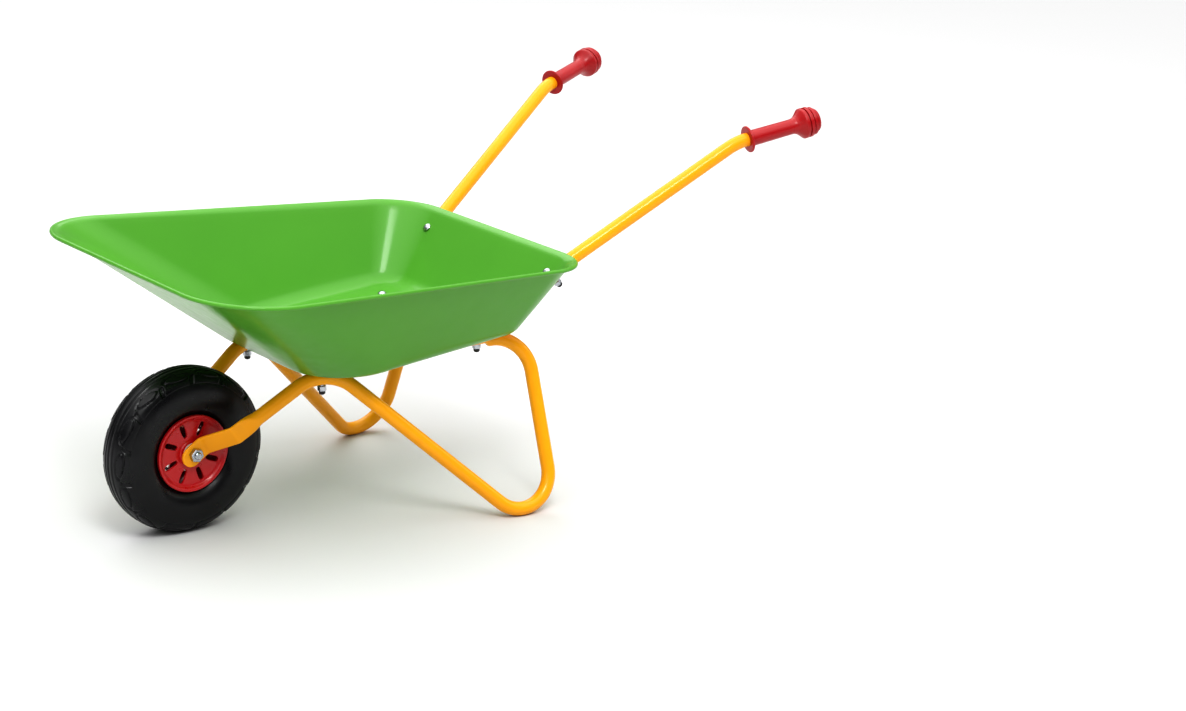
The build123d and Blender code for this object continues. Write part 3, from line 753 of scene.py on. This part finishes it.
def spline_points(points, n):
    """Smooth run through the points (Catmull-Rom), n steps between each two."""
    out = []
    for i in range(len(points) - 1):
        p0, p1 = points[max(0, i - 1)], points[i]
        p2, p3 = points[i + 1], points[min(len(points) - 1, i + 2)]
        for k in range(n):
            t = k / n
            out.append(tuple(
                0.5 * (
                    (2 * b) + (-a + c) * t + (2 * a - 5 * b + 4 * c - d) * t * t
                    + (-a + 3 * b - 3 * c + d) * t ** 3
                )
                for a, b, c, d in zip(p0, p1, p2, p3)
            ))
    out.append(points[-1])
    return out


def both_sides(half):
    """A half profile, smoothed and carried on over the other half."""
    line = spline_points(half, 4)
    return line + [(-y, r) for y, r in line[-2::-1]]


def groove(x, width, depth, soft=0.35):
    """Depth of a groove at distance x from its middle."""
    return depth * (1 - smoothstep((abs(x) - width / 2 + soft) / (2 * soft)))


def tread_depth(phi, y, r):
    """How far the tread is cut in at this spot, in millimetres."""
    cut = 0.0
    for gy in (0.0, 6.2):
        cut = max(cut, groove(abs(y) - gy, 1.6, 1.5))
    side = 0.0 if y > 0 else 0.5
    pitch = 2 * math.pi * r / TREADS
    if abs(y) > 8.0:
        # long leaf-shaped blocks lying along the shoulder, outlined by a groove
        turn = phi / (2 * math.pi) * TREADS + side
        along = (turn - round(turn)) * pitch
        across = (abs(y) - 15.2) * 1.25 - along * 0.10
        leaf = math.hypot(along / 14.5, across / 5.2)
        fade = smoothstep((abs(y) - 8.0) / 1.0)
        cut = max(cut, groove((leaf - 1.0) * 5.2, 1.3, 1.35 * fade, 0.4))
        # notches between them, open at the shoulder
        gap = turn + 0.5
        dist = (gap - round(gap)) * pitch + (abs(y) - 15.0) * 0.5
        edge = smoothstep((abs(y) - 14.5) / 1.5) * smoothstep((r - 75.9) / 0.8)
        cut = max(cut, groove(dist, 5.0, 1.8 * edge, 0.8))
    return cut


def tyre_ring(y, r):
    """One ring of the outer skin, with the tread cut into it."""
    out = []
    shoulder = abs(y) > SHOULDER_Y
    for i in range(SEG):
        phi = 2 * math.pi * i / SEG
        c = tread_depth(phi, y, r) if r > TREAD_R else 0.0
        rr = r - c * (0.75 if abs(y) >= SHOULDER_Y else 1.0)
        out.append(wheel_point(y - math.copysign(c * 0.55, y) if shoulder else y, rr, phi))
    return out


tyre_rings = [tyre_ring(y, r) for y, r in both_sides(OUTER_HALF)]
tyre_rings += [
    [wheel_point(y, r, 2 * math.pi * i / SEG) for i in range(SEG)] for y, r in both_sides(INNER_HALF)
]
tyre_rings.append(tyre_rings[0])
piece("tyre_tread", *bridge(tyre_rings), "wheel", "tyre", TYRE, ["tyre"], sharp=50)


# ---------------------------------------------------------------- rim halves
N_SLOT, PER = 8, 24  # slots, and points along each side of a slot's sector
WEB_OUT, WEB_IN, WEB = 36.0, 14.2, 2.6  # the dished web's radii and thickness
SLOT_MID, SLOT_LONG, SLOT_WIDE, SLOT_TAPER, SLOT_POWER = 26.2, 7.7, 2.85, 0.035, 3.4
JOINT_Y = 0.05  # the halves meet just clear of the middle


def web_y(r):
    """Height of the dished web's outer face."""
    if r > 34.0:
        return 17.4 + (r - 34.0) * 0.45
    if r > 17.0:
        return 17.0 + (r - 17.0) * 0.0235
    return 17.0


def sector_edge(n_side):
    """Points round one slot's sector of the web, as (radius, fraction of the sector)."""
    corners = [(WEB_OUT, -0.5), (WEB_OUT, 0.5), (WEB_IN, 0.5), (WEB_IN, -0.5)]
    pts = []
    for (r0, f0), (r1, f1) in zip(corners, corners[1:] + corners[:1]):
        pts += [(r0 + (r1 - r0) * i / n_side, f0 + (f1 - f0) * i / n_side) for i in range(n_side)]
    return pts


def slot_sector(s):
    """Front and back of the web round one slot, and the slot's wall."""
    step = 2 * math.pi / N_SLOT
    middle_angle = step * (s + 0.5)
    edge = sector_edge(PER)
    # each border point pairs with the slot's outline point in the same direction
    dirs = [math.atan2(f * step * SLOT_MID / 8.2, (r - SLOT_MID) / 10.5) for r, f in edge]
    lines = []
    for grow, deep in ((0.0, WEB), (0.0, 0.35), (0.12, 0.1), (0.4, 0.0)):
        row = []
        for d in dirs:
            c, q = squircle(d, SLOT_POWER)
            x = (SLOT_LONG + grow) * c
            y = (SLOT_WIDE + SLOT_TAPER * x + grow) * q
            row.append((math.hypot(SLOT_MID + x, y), middle_angle + math.atan2(y, SLOT_MID + x), deep))
        lines.append(row)
    border = [(r, middle_angle + f * step) for r, f in edge]

    def toward_border(row, t, deep):
        return [(a[0] + (b[0] - a[0]) * t, a[1] + (b[1] - a[1]) * t, deep) for a, b in zip(row, border)]

    front = lines + [toward_border(lines[-1], t, 0.0) for t in (0.25, 0.5, 0.75, 1.0)]
    back = [lines[0]] + [toward_border(lines[0], t, WEB) for t in (0.5, 1.0)]
    v, f = bridge([[wheel_point(web_y(r) - WEB, r, th) for r, th, _ in row] for row in back])
    return (
        bridge([[wheel_point(web_y(r) - d, r, th) for r, th, d in row] for row in front]),
        (v, [q[::-1] for q in f]),
    )


def spin(profile):
    """Surface of revolution about the axle, from (y, radius) points."""
    seg = N_SLOT * PER
    return bridge([[wheel_point(y, r, 2 * math.pi * i / seg) for i in range(seg)] for y, r in profile])


def rim_half():
    """Left half of the rim: slotted web, lip round its outside and hub inside."""
    parts = [part for s in range(N_SLOT) for part in slot_sector(s)]
    out_y, in_y = web_y(WEB_OUT), web_y(WEB_IN)
    parts.append(spin(round_profile([
        (out_y, WEB_OUT, 0), (20.2, 37.6, 2.5), (21.3, 39.2, 1.6), (21.3, 41.2, 1.4), (17.4, 41.2, 0.5),
        (17.2, 38.2, 0.4), (15.2, 37.1, 1.0), (JOINT_Y, 37.0, 0.2), (JOINT_Y, 34.9, 0.2),
        (out_y - WEB, 35.3, 0.2), (out_y - WEB, WEB_OUT, 0),
    ])))
    parts.append(spin(round_profile([
        (in_y - WEB, WEB_IN, 0), (in_y - WEB, 12.0, 0.8), (JOINT_Y, 11.5, 0.2), (JOINT_Y, 8.0, 0.2),
        (18.4, 8.0, 0.3), (18.4, 13.2, 0.5), (in_y, WEB_IN, 0),
    ])))
    return join(*parts)


rim_mesh = rim_half()
piece("rim_disc_left", *rim_mesh, "wheel", "red", RIM_RED, ["rim_half_left"], sharp=40)
piece("rim_disc_right", *flip_y(rim_mesh), "wheel", "red", RIM_RED, ["rim_half_right"], sharp=40)


# ---------------------------------------------------------------- stage, light and camera
def plain(name, color, rough):
    """Even, nearly matt surface for the studio."""
    m, nt, b = material(name)
    b.inputs["Base Color"].default_value = (*color, 1)
    b.inputs["Roughness"].default_value = rough
    b.inputs["Specular IOR Level"].default_value = 0.2
    return m


floor_me = bpy.data.meshes.new("studio_floor")
HALF_FLOOR = 12.0
floor_me.from_pydata([(x * HALF_FLOOR, y * HALF_FLOOR, 0) for x, y in ((-1, -1), (1, -1), (1, 1), (-1, 1))],
                     [], [(0, 1, 2, 3)])
floor_ob = bpy.data.objects.new("studio_floor", floor_me)
floor_ob.data.materials.append(plain("studio_white", (0.62, 0.62, 0.62), 0.7))
bpy.context.scene.collection.objects.link(floor_ob)

world = bpy.data.worlds.new("studio")
bpy.context.scene.world = world
world.use_nodes = True
sky = world.node_tree
bg = sky.nodes["Background"]
bg.inputs["Color"].default_value = (1.0, 1.0, 1.0, 1)
# brighter overhead than round the sides, like a ceiling of soft boxes
split = sky.nodes.new("ShaderNodeSeparateXYZ")
sky.links.new(sky.nodes.new("ShaderNodeTexCoord").outputs["Generated"], split.inputs["Vector"])
sky.links.new(ramp(sky, split.outputs["Z"], 0.45, 0.80, 0.16, 1.65), bg.inputs["Strength"])


def area(name, where, target, size, power):
    """Square soft light at where, facing the target."""
    li = bpy.data.lights.new(name, "AREA")
    li.energy = power
    li.size = size
    ob = bpy.data.objects.new(name, li)
    ob.location = where
    ob.rotation_mode = "QUATERNION"
    ob.rotation_quaternion = (Vector(target) - Vector(where)).to_track_quat("-Z", "Y")
    bpy.context.scene.collection.objects.link(ob)


middle = (REST[0] + REST[1]) / 2
area("key", (0.9, 1.6, 2.4), middle, 0.9, 26)
area("back", (-0.6, -2.0, 1.9), middle, 1.8, 14)
area("rear_side", (-2.2, 1.0, 1.2), middle, 1.2, 5)
area("front_side", (1.9, 0.9, 1.1), middle, 0.7, 3.5)

cam_data = bpy.data.cameras.new("camera")
cam = bpy.data.objects.new("camera", cam_data)
bpy.context.scene.collection.objects.link(cam)
bpy.context.scene.camera = cam
cam_data.sensor_width, cam_data.lens = 36.0, 80.39
cam_data.clip_start, cam_data.clip_end = 0.05, 60
yaw, pitch, roll = math.radians(-130.92), math.radians(-16.92), math.radians(3.37)
look = Vector((math.cos(pitch) * math.cos(yaw), math.cos(pitch) * math.sin(yaw), math.sin(pitch)))
right = look.cross(Vector((0, 0, 1))).normalized()
up = right.cross(look)
right_r = right * math.cos(roll) + up * math.sin(roll)
up_r = up * math.cos(roll) - right * math.sin(roll)
rot = Matrix((right_r, up_r, -look)).transposed()
CAMERA_AT = (1372.3, 2218.3, 996.2)
cam.matrix_world = Matrix.Translation(at(*CAMERA_AT)) @ rot.to_4x4()

scene = bpy.context.scene
scene.view_settings.view_transform = "Standard"
scene.view_settings.look = "High Contrast"
scene.view_settings.exposure = 0.0
